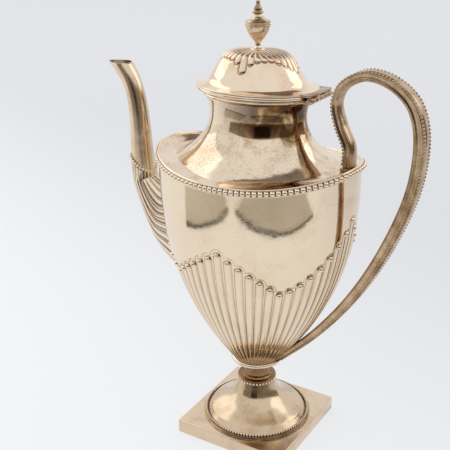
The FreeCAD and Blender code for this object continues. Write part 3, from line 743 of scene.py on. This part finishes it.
# Half length, half width and height above the lid's base, in millimetres
lid_sides = [
    (EDGE.x - 0.8, EDGE.y - 0.8, 0), (EDGE.x - 0.2, EDGE.y - 0.2, 0.2), (EDGE.x, EDGE.y, 0.6),
    (EDGE.x - 0.4, EDGE.y - 0.4, 1.1), (42.0, 30.2, 1.3), (39.4, 28.4, 1.6), (37.2, 26.9, 2.1),
    (35.4, 25.7, 3.2), (33.9, 24.8, 5.0), (32.7, 24.0, 7.4), (30.4, 22.4, 11.1), (27.8, 20.6, 15.1),
]
# Above them the crown closes and turns round: share of its height, and share of its size
for rise, size in (
    (0, 1), (0.3, 0.95), (0.55, 0.88), (0.75, 0.78), (0.88, 0.66), (0.96, 0.5), (1, 0.3), (1, 0.15), (1, 0),
):
    length = CROWN_LENGTH * size
    lid_sides.append((length, min(length, CROWN_WIDTH * size**0.8), CROWN_BASE + CROWN_HEIGHT * rise))
lid_profile = smooth_line(lid_sides, LID_ROWS) * MM + (0, 0, LID_BASE)
lid_profile[-1, :2] = 0
lid_slope = np.gradient(lid_profile, axis=0)
mean_half = lid_profile[:, :2].mean(axis=1)
lid_run = np.r_[0, np.cumsum(np.hypot(np.diff(mean_half), np.diff(lid_profile[:, 2])))]
lid_run = lid_run[-1] - lid_run
lid_under = np.maximum(lid_profile[::-4] - LID_WALL, (0, 0, LID_BASE))
lid_rows = np.concatenate([lid_profile, lid_under, lid_profile[:1]])

# %% Lid with petals
PETALS = 32
PETAL_GROOVE, PETAL_BORDER = 0.42, 0.2
HALF_QUARTER = PETALS // 8
LONG_PETAL, SHORT_PETAL = 277.0 * MM, 284.6 * MM


def petal_tip(petal):
    """Run from the top of the lid to a petal's tip, long on the axes and short between them."""
    along = np.abs((petal + 2 * HALF_QUARTER) % (4 * HALF_QUARTER) - 2 * HALF_QUARTER)
    to_side = np.maximum(HALF_QUARTER - along, 0) / HALF_QUARTER
    to_end = np.maximum(along - HALF_QUARTER, 0) / HALF_QUARTER
    level = SHORT_PETAL + (LONG_PETAL - SHORT_PETAL) * (to_side**4 + to_end**1.2)
    return np.interp(level, lid_profile[:, 2], lid_run)


def lid_place(turn, row):
    length, width, level = lid_rows[row].T
    at = np.minimum(row, LID_ROWS - 1)
    depth, half = lobes(turn, length, width, lid_run[at], petal_tip, PETALS, PETAL_BORDER)
    depth = np.where(row < LID_ROWS, depth, 0)
    sink = depth * half * PETAL_GROOVE
    slope = lid_slope[at]
    steep = np.hypot(slope[:, 0], slope[:, 2]) + 1e-9
    pull, drop = sink * slope[:, 2] / steep, -sink * slope[:, 0] / steep
    length, width = np.maximum(length - pull, 0), np.maximum(width - pull, 0)
    return oval(turn, length, width, level - drop), depth


lid_dome = wrapped("lid_petalled", PETALS * 14, len(lid_rows) - 1, lid_place)

# %% [markdown]
# ## Finial
# The finial is a small urn on a foot, with a cap and a tip. All four are turned.

# %% Finial
URN_BASE, URN_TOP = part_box("finial_urn")[0].z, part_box("finial_urn")[1].z
TIP_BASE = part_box("finial_tip")[0].z
finial_foot = turned("finial_foot", outline_mm([
    (0, -0.6), (4.6, -0.6), (4.8, 0), (4.7, 0.4), (4.2, 0.7), (3.1, 0.9), (2.3, 1.3), (2.0, 1.8),
    (1.9, 2.4), (0, 2.4),
], DOME_TOP), 64)
bowl = smooth_line([
    (1.9, 0), (1.75, 0.8), (1.9, 1.8), (2.9, 3.2), (4.5, 5.1), (6.0, 7.3), (7.1, 9.5), (7.8, 11.5),
    (8.1, 12.6),
], 22)
bowl_edge = [
    (8.55, 12.8), (8.6, 13.1), (8.5, 13.4), (7.9, 13.6), (7.7, 14.2), (7.9, 14.7), (8.4, 14.9), (8.5, 15.2),
]
finial_urn = turned("finial_bowl", outline_mm([(0, 0), *bowl, *bowl_edge, (0, 15.2)], URN_BASE), 72)
finial_cap = turned("finial_lid", outline_mm([
    (0, 0), (8.2, 0), (8.2, 0.4), (7.6, 0.9), (6.6, 1.3), (5.4, 1.6), (4.6, 2.0), (4.2, 2.6), (3.3, 3.1),
    (2.8, 3.7), (2.6, 4.6), (0, 4.6),
], URN_TOP), 64)
finial_tip = turned("finial_point", outline_mm([
    (0, 0), (2.6, 0), (3.0, 0.5), (3.7, 0.9), (3.8, 1.3), (3.6, 1.6), (2.9, 1.9), (2.6, 2.5), (2.7, 3.1),
    (2.6, 3.9), (2.0, 5.2), (1.3, 6.3), (1.15, 6.9), (1.4, 7.4), (1.35, 7.9), (0.9, 8.35), (0, 8.5),
], TIP_BASE), 48)

# %% [markdown]
# ## Hinge
# Five short barrels sit on one pin: three belong to the mouth rim and two to the lid. Softened
# boxes join these cylinders to a plate flush with the lid's edge and to a block on the mouth rim.

# %% Hinge knuckles and plates
HINGE_X, _, HINGE_Z = frame["joints"][0]["pos_m"]
HINGE_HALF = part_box("hinge_pin")[1].y
KNUCKLES, KNUCKLE_RADIUS, KNUCKLE_GAP = 5, 2.1 * MM, 0.3 * MM
WEB_HALF = 1.4 * MM
pitch = 2 * HINGE_HALF / KNUCKLES


def hinge_box(left, right, at, reach, low, high, radius):
    """Softened box beside the pin: from left to right of it, centred at a place along it."""
    low, high = (HINGE_X + left, at - reach, low), (HINGE_X + right, at + reach, high)
    return softened_box("hinge_box", low, high, radius)


leaf_parts, seat_parts = [], []
for number in range(KNUCKLES):
    at, reach = -HINGE_HALF + pitch * (number + 0.5), (pitch - KNUCKLE_GAP) / 2
    pick()
    bpy.ops.mesh.primitive_cylinder_add(
        vertices=32, radius=KNUCKLE_RADIUS, depth=2 * reach,
        location=(HINGE_X, at, HINGE_Z), rotation=(math.pi / 2, 0, 0),
    )
    bpy.ops.object.transform_apply()
    knuckle = soften(bpy.context.object, 0.3 * MM, 2)
    if number % 2:
        web = hinge_box(-WEB_HALF, WEB_HALF, at, reach, HINGE_Z, LID_BASE + 0.3 * MM, 0.1 * MM)
        leaf_parts += [knuckle, web]
    else:
        reach = pitch / 2 - KNUCKLE_GAP
        lug = hinge_box(-3.5 * MM, 0, at, reach, HINGE_Z - 1.7 * MM, HINGE_Z, 0.2 * MM)
        seat_parts += [knuckle, lug]
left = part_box("hinge_leaf")[0].x - 3 * MM - HINGE_X
plate = hinge_box(left, WEB_HALF, 0, HINGE_HALF, LID_BASE, LID_BASE + 1.25 * MM, 0.35 * MM)
lid_hinge = joined("lid_hinge", leaf_parts + [plate])
left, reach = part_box("hinge_seat")[0].x - HINGE_X, HINGE_HALF - KNUCKLE_GAP
seat = hinge_box(left, -2.5 * MM, 0, reach, HINGE_Z - 2.0 * MM, HINGE_Z, 0.3 * MM)
rim_hinge = joined("rim_hinge", seat_parts + [seat])

# %% [markdown]
# ## What stands for what
# Each new piece rides on the pot or on the lid and stands for its solids. The pin, the bezel and
# the finial's screw stay as the solids they are.

# %% Ride and replace
# For each body and slot: a piece, the angle from which its edges stay sharp, and its solids
stands_for = {
    ("pot", "polished_silver"): [
        (vase, 0, "body_vase"), (reed_knobs, 0), (rim_beads, 0, "shoulder_bead_wire"),
        (rim_upper_wire, 0, "shoulder_upper_wire"), (rim_lower_wire, 0, "shoulder_lower_wire"),
        (mouth_rim, 40, "mouth_lower_band", "mouth_upper_band"),
        (plinth, 30, "plinth_apron", "plinth_top"), (foot_dome, 50, "foot_dome"),
        (foot_moulding, 50, "foot_rim"), (foot_beads, 0, "foot_bead_wire"),
        (collar_beads, 0, "collar_bead_wire"), (dish, 50, "body_dish"), (spout_root, 0, "spout_root"),
        (spout_tube, 60, "spout_tube"), (spout_beads, 0, "spout_bead_band"),
    ],
    ("pot", "tarnished_silver"): [
        (shoulder_neck, 0, "shoulder", "neck"), (rim_bed, 0), (foot_bed, 0), (collar_bed, 0),
        (spout_wire, 0), (collar, 50, "stem_collar"), (stem_skin, 50, "stem_tube", "stem_ring"),
        (handle_bar, 50, "handle_loop"), (bead_rows[0], 0, "handle_bead_wire_near"),
        (bead_rows[1], 0, "handle_bead_wire_far"), (handle_pad, 40, "handle_pad"),
        (rim_hinge, 35, "hinge_seat"),
    ],
    ("lid", "polished_silver"): [
        (lid_dome, 0, "lid_dome", "lid_edge"), (finial_foot, 50, "finial_base"),
        (finial_cap, 50, "finial_cap"), (finial_tip, 50, "finial_tip"),
    ],
    ("lid", "tarnished_silver"): [(lid_hinge, 35, "hinge_leaf"), (finial_urn, 50, "finial_urn")],
}
for (body, slot), rows in stands_for.items():
    for piece, angle, *nodes in rows:
        pick(piece)
        if angle:
            bpy.ops.object.shade_smooth_by_angle(angle=math.radians(angle))
        else:
            bpy.ops.object.shade_smooth()
        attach(piece, body)
        if nodes:
            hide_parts(*nodes)
    print(len(rows), "pieces of", slot, "ride on the", body)

# %% [markdown]
# ## Silver
# The pot is old silver, polished by hand many times. Silver is almost white and very bright, so
# the eye reads it by what it mirrors. Where polish never reaches, a thin film of tarnish turns it
# golden and then brown: in grooves, under beads, on the neck and the stem. Shade is painted into
# the colour too: on the flanks and in the grooves of reeds and petals, beside the handle's beads,
# inside the spout, in the beds behind the beads, and on the handle side of the neck.
# golden and then brown: in grooves, under beads, on the neck and the stem.


# %% Helpers for materials
def linear(hex_colour):
    """Turn an sRGB hex colour into linear values."""
    values = [int(hex_colour[i:i + 2], 16) / 255 for i in (1, 3, 5)]
    return tuple(v / 12.92 if v <= 0.04045 else ((v + 0.055) / 1.055) ** 2.4 for v in values) + (1.0,)


def add(tree, kind, inputs=(), **settings):
    """Add one shader node with its settings, values and links.

    Inputs go by name or in order. A map range takes a value, its two ends and what they become.
    """
    made = tree.nodes.new("ShaderNode" + kind)
    for key, value in settings.items():
        setattr(made, key, value)
    for key, value in inputs.items() if isinstance(inputs, dict) else enumerate(inputs):
        found = [socket for socket in made.inputs if socket.enabled and socket.name == key]
        socket = found[0] if found else made.inputs[key]
        if isinstance(value, bpy.types.Node):
            value = next(result for result in value.outputs if result.enabled)
        if isinstance(value, bpy.types.NodeSocket):
            tree.links.new(value, socket)
        else:
            socket.default_value = value
    return made


def new_tree(name):
    """New material with an empty node tree."""
    material = bpy.data.materials.new(name)
    material.use_nodes = True
    material.node_tree.nodes.clear()
    return material, material.node_tree


def coat(pieces, material):
    """Give pieces one material and no other."""
    for piece in pieces:
        piece.data.materials.clear()
        piece.data.materials.append(material)


# %% Silver
SMOOTH = {"interpolation_type": "SMOOTHSTEP"}
SCUFF, PIT, WAVE, CLOUD = 1.5 * MM, 0.9 * MM, 18 * MM, 13 * MM
GOLDEN_TOP, GOLDEN_LOW = 84 * MM, 62 * MM
SMOKE_SHADE_FAR, SMOKE_SHADE_NEAR, SMOKE_SHADE_LOW, SMOKE_SHADE_TOP = -62 * MM, 4 * MM, 226 * MM, 254 * MM


def silver(pieces, name, clean, film, crease, share, patch, roughness, flecks=0.0, golden=0.0, smoke_and_shade=0.0):
    """Silver with a film of tarnish in soft patches, brown flecks, painted shade on the flanks of lobes and
    a crease colour in hollows that is tarnish and painted shade.

    Golden tarnish lies on the lowest part of the vase. Smoky tarnish and painted shade darken the handle
    side of the neck, most towards the mouth rim.
    """
    material, tree = new_tree(name)
    spot = add(tree, "TexCoord").outputs["Object"]
    axes = add(tree, "SeparateXYZ", [spot]).outputs
    hollow = add(tree, "Attribute", attribute_name="hollow").outputs["Fac"]
    scuffs = add(tree, "TexNoise", {"Vector": spot, "Scale": 1 / SCUFF, "Detail": 4.0, "Roughness": 0.65})
    patches = add(tree, "TexNoise", {"Vector": spot, "Scale": 1 / patch, "Detail": 5.0, "Roughness": 0.6})
    low, high = 0.66 - 0.4 * share, 0.86 - 0.3 * share
    layers = [(add(tree, "MapRange", [patches, low, high, 0, 0.25 + 0.7 * share]), linear(film))]
    if golden:
        ends = [axes["Z"], GOLDEN_TOP, GOLDEN_LOW, 0, golden]
        layers.append((add(tree, "MapRange", ends, **SMOOTH), linear("#9A6A36")))
    if smoke_and_shade:
        # Partly painted shade: the side ramp darkens the handle side, away from the left lamp, and the
        # height ramp darkens the band under the mouth rim; the noise gives the tarnish its cloudy edge
        side = add(tree, "Math", [axes["X"], 1.6, axes["Y"]], operation="MULTIPLY_ADD")
        ends = [side, SMOKE_SHADE_FAR, SMOKE_SHADE_NEAR, 0, smoke_and_shade]
        facing = add(tree, "MapRange", ends, **SMOOTH)
        height = add(tree, "MapRange", [axes["Z"], SMOKE_SHADE_LOW, SMOKE_SHADE_TOP, 0, 0.42])
        cloud = add(tree, "TexNoise", {
            "Vector": spot, "Scale": 1 / CLOUD, "Detail": 6.0, "Roughness": 0.65, "Distortion": 0.8,
        })
        depth = add(tree, "Math", [cloud, height], operation="ADD")
        blot = add(tree, "MapRange", [depth, 0.54, 0.76])
        deep = add(tree, "MapRange", [depth, 0.62, 0.9])
        ends = {"Factor": deep, "A": linear("#B58A50"), "B": linear("#4A3324")}
        smoke_shade = add(tree, "Mix", ends, data_type="RGBA")
        layers.append((add(tree, "Math", [facing, blot], operation="MULTIPLY"), smoke_shade))
    if flecks:
        pits = add(tree, "TexNoise", {"Vector": spot, "Scale": 1 / PIT, "Detail": 3.0, "Roughness": 0.6})
        dots = add(tree, "MapRange", [pits, 0.53, 0.64])
        stained = add(tree, "MapRange", [patches, 0.38, 0.6, 0, flecks])
        layers.append((add(tree, "Math", [stained, dots], operation="MULTIPLY"), linear("#7A5A3E")))
    # Painted shade on the flanks of the lobes, growing towards the groove; in the groove the crease colour
    # is tarnish and painted shade
    flank = add(tree, "MapRange", [hollow, 0.02, 0.4, 0, 0.42], **SMOOTH)
    groove = add(tree, "MapRange", [hollow, 0.45, 1.0, 0, 0.8])
    layers += [(flank, linear("#A9876A")), (groove, linear(crease))]
    tint = linear(clean)
    for mask, colour in layers:
        tint = add(tree, "Mix", {"Factor": mask, "A": tint, "B": colour}, data_type="RGBA")
    rough = add(tree, "MapRange", [scuffs, 0.3, 0.8, roughness * 0.8, roughness * 1.35])
    waves = add(tree, "TexNoise", {"Vector": spot, "Scale": 1 / WAVE, "Detail": 2.0})
    hammer = add(tree, "Bump", {"Height": waves, "Strength": 0.25, "Distance": 0.5 * MM})
    grain = add(tree, "Bump", {
        "Height": scuffs, "Strength": 0.1 + 0.3 * flecks, "Distance": 0.06 * MM, "Normal": hammer,
    })
    surface = add(tree, "BsdfPrincipled", {
        "Base Color": tint, "Metallic": 1.0, "Roughness": rough, "Normal": grain,
    })
    add(tree, "OutputMaterial", [surface])
    coat(pieces, material)
    print(name, "on", len(pieces), "pieces")
    return material


# %% The silver of each piece
# Bright and mirror-like: the mouth rim, the dish and the finial's foot
pieces = [dish, mouth_rim, finial_foot]
polished = silver(pieces, "polished_silver", "#F0DEC6", "#D6B88F", "#4E3621", 0.35, 26 * MM, 0.08, 0.12)
# The vase: as bright, with brown lines of tarnish and painted shade between the reeds and a golden film at
# the stem
silver([vase], "reeded_silver", "#EFDDC3", "#D4B288", "#5A3D25", 0.3, 30 * MM, 0.08, 0.15, golden=0.6)
# A peach film in patches warms the lid, which lies high and catches the light
silver([lid_dome], "peach_silver", "#F4DFC6", "#E3B88E", "#5A3D25", 0.5, 16 * MM, 0.09, 0.15)
# Satin from cleaning: the plinth and the spout blur what they mirror
silver([plinth, spout_tube], "satin_silver", "#E4CFB3", "#C29C6E", "#4E3621", 0.45, 20 * MM, 0.2, 0.2)
# Dimmed by a thin golden film: the foot and the finial still mirror, but less brightly
pieces = [foot_dome, finial_cap, finial_urn]
silver(pieces, "dimmed_silver", "#D9C3A5", "#A8855C", "#4E3621", 0.5, 18 * MM, 0.17, 0.25)
# Pitted and stained: the shoulder and the neck, speckled brown, with smoky tarnish and painted shade on the
# handle side and under the mouth rim
pieces = [shoulder_neck]
silver(pieces, "pitted_silver", "#EFDCC4", "#C4A076", "#4A3420", 0.4, 24 * MM, 0.09, 0.55, smoke_and_shade=0.95)
# Worn bright on top: beads, wires and the reeds of the spout
pieces = [spout_root, reed_knobs, rim_beads, foot_beads, collar_beads, spout_beads]
pieces += [rim_upper_wire, rim_lower_wire]
silver(pieces, "bead_silver", "#F1E0CA", "#CFAB80", "#5B4027", 0.35, 10 * MM, 0.12)
# Dull and brown from hands and damp: the handle, the hinge, the finial's tip and the foot's moulding
pieces = [handle_bar, *bead_rows, handle_pad, foot_moulding, finial_tip, lid_hinge, rim_hinge]
dull = silver(pieces, "handle_silver", "#CFB596", "#85643F", "#3D2A1A", 0.65, 12 * MM, 0.2, 0.45)
# Golden brown where no cloth goes: the stem and the collar under the beads
silver([stem_skin, collar], "stem_silver", "#9C7A56", "#674A30", "#2C1E13", 0.6, 10 * MM, 0.16, 0.3)
# Dark brown beds behind the beads: tarnish, with painted shade that darkens the gaps between the beads
pieces = [rim_bed, foot_bed, collar_bed, spout_wire]
silver(pieces, "brown_silver", "#6B4E33", "#3E2A1A", "#2C1E13", 0.8, 8 * MM, 0.3)
# The solids that stay are polished, and the pin is as dull as the hinge
for name, node in frame["nodes"].items():
    coat([node], dull if name == "hinge_pin" else polished)

# %% [markdown]
# ## Studio
# A pale table in a pale room. Polished silver is a mirror, so what stands round it matters more
# than the lamps: two grey cards lie on the table in front of the pot, dark screens stand behind the
# camera, and one hangs high at the back. Only reflections show them.


# %% Stage helpers
def stage_panel(name, corners, material, faces=None):
    """Flat or folded panel from its corners; it isn't part of the pot."""
    mesh = bpy.data.meshes.new(name)
    mesh.from_pydata([Vector(c) for c in corners], [], faces or [range(len(corners))])
    panel = bpy.data.objects.new(name, mesh)
    scene.collection.objects.link(panel)
    mesh.materials.append(material)
    panel.visible_camera = False
    print(name, len(mesh.polygons), "faces")
    return panel


def matte(name, colour):
    """Plain matte card."""
    material, tree = new_tree(name)
    surface = add(tree, "BsdfPrincipled", {"Base Color": linear(colour), "Roughness": 0.9})
    add(tree, "OutputMaterial", [surface])
    return material


# %% Table
# White paper. Its own pale glow shows only straight from the camera, in a mirror or through glass.
TABLE_REACH, GLOW_SHARE = 8.0, 0.75
paper, tree = new_tree("white_paper")
shaded = add(tree, "BsdfDiffuse", {"Color": linear("#F4F5F7")})
axes = add(tree, "SeparateXYZ", [add(tree, "TexCoord").outputs["Object"]]).outputs
away = add(tree, "Math", [axes["X"], 0.3, axes["Y"]], operation="MULTIPLY_ADD")
# The paper's glow is painted darker towards the back: painted shade for the falloff of the lamps' light
painted_falloff = add(tree, "MapRange", [away, -0.2, 0.5], **SMOOTH)
tone = add(tree, "Mix", {"Factor": painted_falloff, "A": linear("#FCFDFF"), "B": linear("#DEE0E4")}, data_type="RGBA")
pale = add(tree, "Emission", {"Color": tone, "Strength": 1.0})
ray = add(tree, "LightPath").outputs
seen = add(tree, "Math", [ray["Is Camera Ray"], ray["Is Glossy Ray"]], operation="MAXIMUM")
seen = add(tree, "Math", [seen, ray["Is Transmission Ray"]], operation="MAXIMUM")
glow = add(tree, "Math", [seen, GLOW_SHARE], operation="MULTIPLY")
add(tree, "OutputMaterial", [add(tree, "MixShader", [glow, shaded, pale])])
table_corners = [(-1, -1, 0), (1, -1, 0), (1, 1, 0), (-1, 1, 0)]
table = stage_panel("table", [Vector(c) * TABLE_REACH for c in table_corners], paper)
table.visible_camera = True

# %% Cards on the table
CARDS = {
    "card_left": [(-0.362, -0.187), (-0.135, -0.49), (-0.42, -0.78), (-0.72, -0.40)],
    "card_right": [(-0.095, -0.50), (0.458, -0.178), (0.66, -0.53), (0.11, -0.86)],
}
CARD_LEVEL, EDGE_LEVEL, EDGE_WIDTH = 2 * MM, 3 * MM, 22 * MM
# Grey gives the silver soft middle tones. The dark strips along the cards' near edges are painted shade for
# the shaded thickness of the cards, and draw dark lines in the silver.
grey_card, dark_edge = matte("grey_card", "#DAD6CD"), matte("dark_edge", "#3A3631")
for name, corners in CARDS.items():
    stage_panel(name, [(x, y, CARD_LEVEL) for x, y in corners], grey_card)
    start, end = (Vector((x, y, EDGE_LEVEL)) for x, y in corners[:2])
    inward = Vector((0, 0, 1)).cross(end - start).normalized() * -EDGE_WIDTH
    stage_panel(name + "_edge", [start, end, end + inward, start + inward], dark_edge)

# %% Screens
# Brown cloth, brown card and a black box give the silver its warm, dark tones
# Posts of the cloth: angle round the pot in degrees, distance and height
screen_posts = [(-135, 1.2, 0.36), (-105, 1.15, 0.6), (-45, 1.15, 0.66), (0, 1.2, 0.55), (55, 1.3, 0.4)]
corners = []
for angle, reach, top in screen_posts:
    x, y = reach * math.cos(math.radians(angle)), reach * math.sin(math.radians(angle))
    corners += [(x, y, 0), (x, y, top)]
faces = [(2 * i, 2 * i + 2, 2 * i + 3, 2 * i + 1) for i in range(len(screen_posts) - 1)]
stage_panel("front_screen", corners, matte("brown_cloth", "#9A8C7E"), faces)
box_corners = [(0.0, -0.85, 0.12), (0.42, -0.72, 0.12), (0.42, -0.72, 0.5), (0.0, -0.85, 0.5)]
stage_panel("dark_box", box_corners, matte("black_box", "#2C2723"))
HIGH_LEVEL = 1.0
high_corners = [
    (-0.51, 0.37), (-0.26, -0.06), (0.05, -0.08), (0.29, 0.1), (0.29, 0.3), (-0.17, 0.9), (-0.55, 0.78),
]
stage_panel("high_screen", [(x, y, HIGH_LEVEL) for x, y in high_corners], matte("brown_card", "#9A9087"))

# %% Light and world
POT_MIDDLE = Vector((0, 0, 0.15))
# Spot, size and power of the square lamps
soft_boxes = {"left_box": ((-2.2, 0.2, 1.5), 2.0, 7.5), "right_box": ((1.9, 1.2, 1.5), 1.8, 7.0)}
for name, (spot, size, power) in soft_boxes.items():
    lamp = bpy.data.lights.new(name, "AREA")
    lamp.shape, lamp.size, lamp.energy = "SQUARE", size, power
    box = bpy.data.objects.new(name, lamp)
    scene.collection.objects.link(box)
    box.location = spot
    box.rotation_euler = (POT_MIDDLE - Vector(spot)).to_track_quat("-Z", "Y").to_euler()
    print(name, power, "W")
world = bpy.data.worlds.new("pale_room")
scene.world = world
world.use_nodes = True
world.node_tree.nodes.clear()
room = add(world.node_tree, "Background", {"Color": linear("#F1F2F4"), "Strength": 1.0})
add(world.node_tree, "OutputWorld", [room])

# %% [markdown]
# ## Camera
# The camera stands where the photograph was taken: right of the front, above the lid, looking down.

# %% Camera
CAMERA_SPOT = Vector((261.24, -458.61, 383.99)) * MM
CAMERA_RIGHT = Vector((0.84926, 0.52784, -0.01244))
CAMERA_UP = Vector((-0.19205, 0.33077, 0.92396))
camera_data = bpy.data.cameras.new("camera")
camera_data.lens = 64.38
camera = bpy.data.objects.new("camera", camera_data)
scene.collection.objects.link(camera)
aim = Matrix((CAMERA_RIGHT, CAMERA_UP, CAMERA_RIGHT.cross(CAMERA_UP))).transposed().to_4x4()
camera.matrix_world = Matrix.Translation(CAMERA_SPOT) @ aim
scene.camera = camera
scene.view_settings.view_transform = "Standard"
print("camera at", list(CAMERA_SPOT))
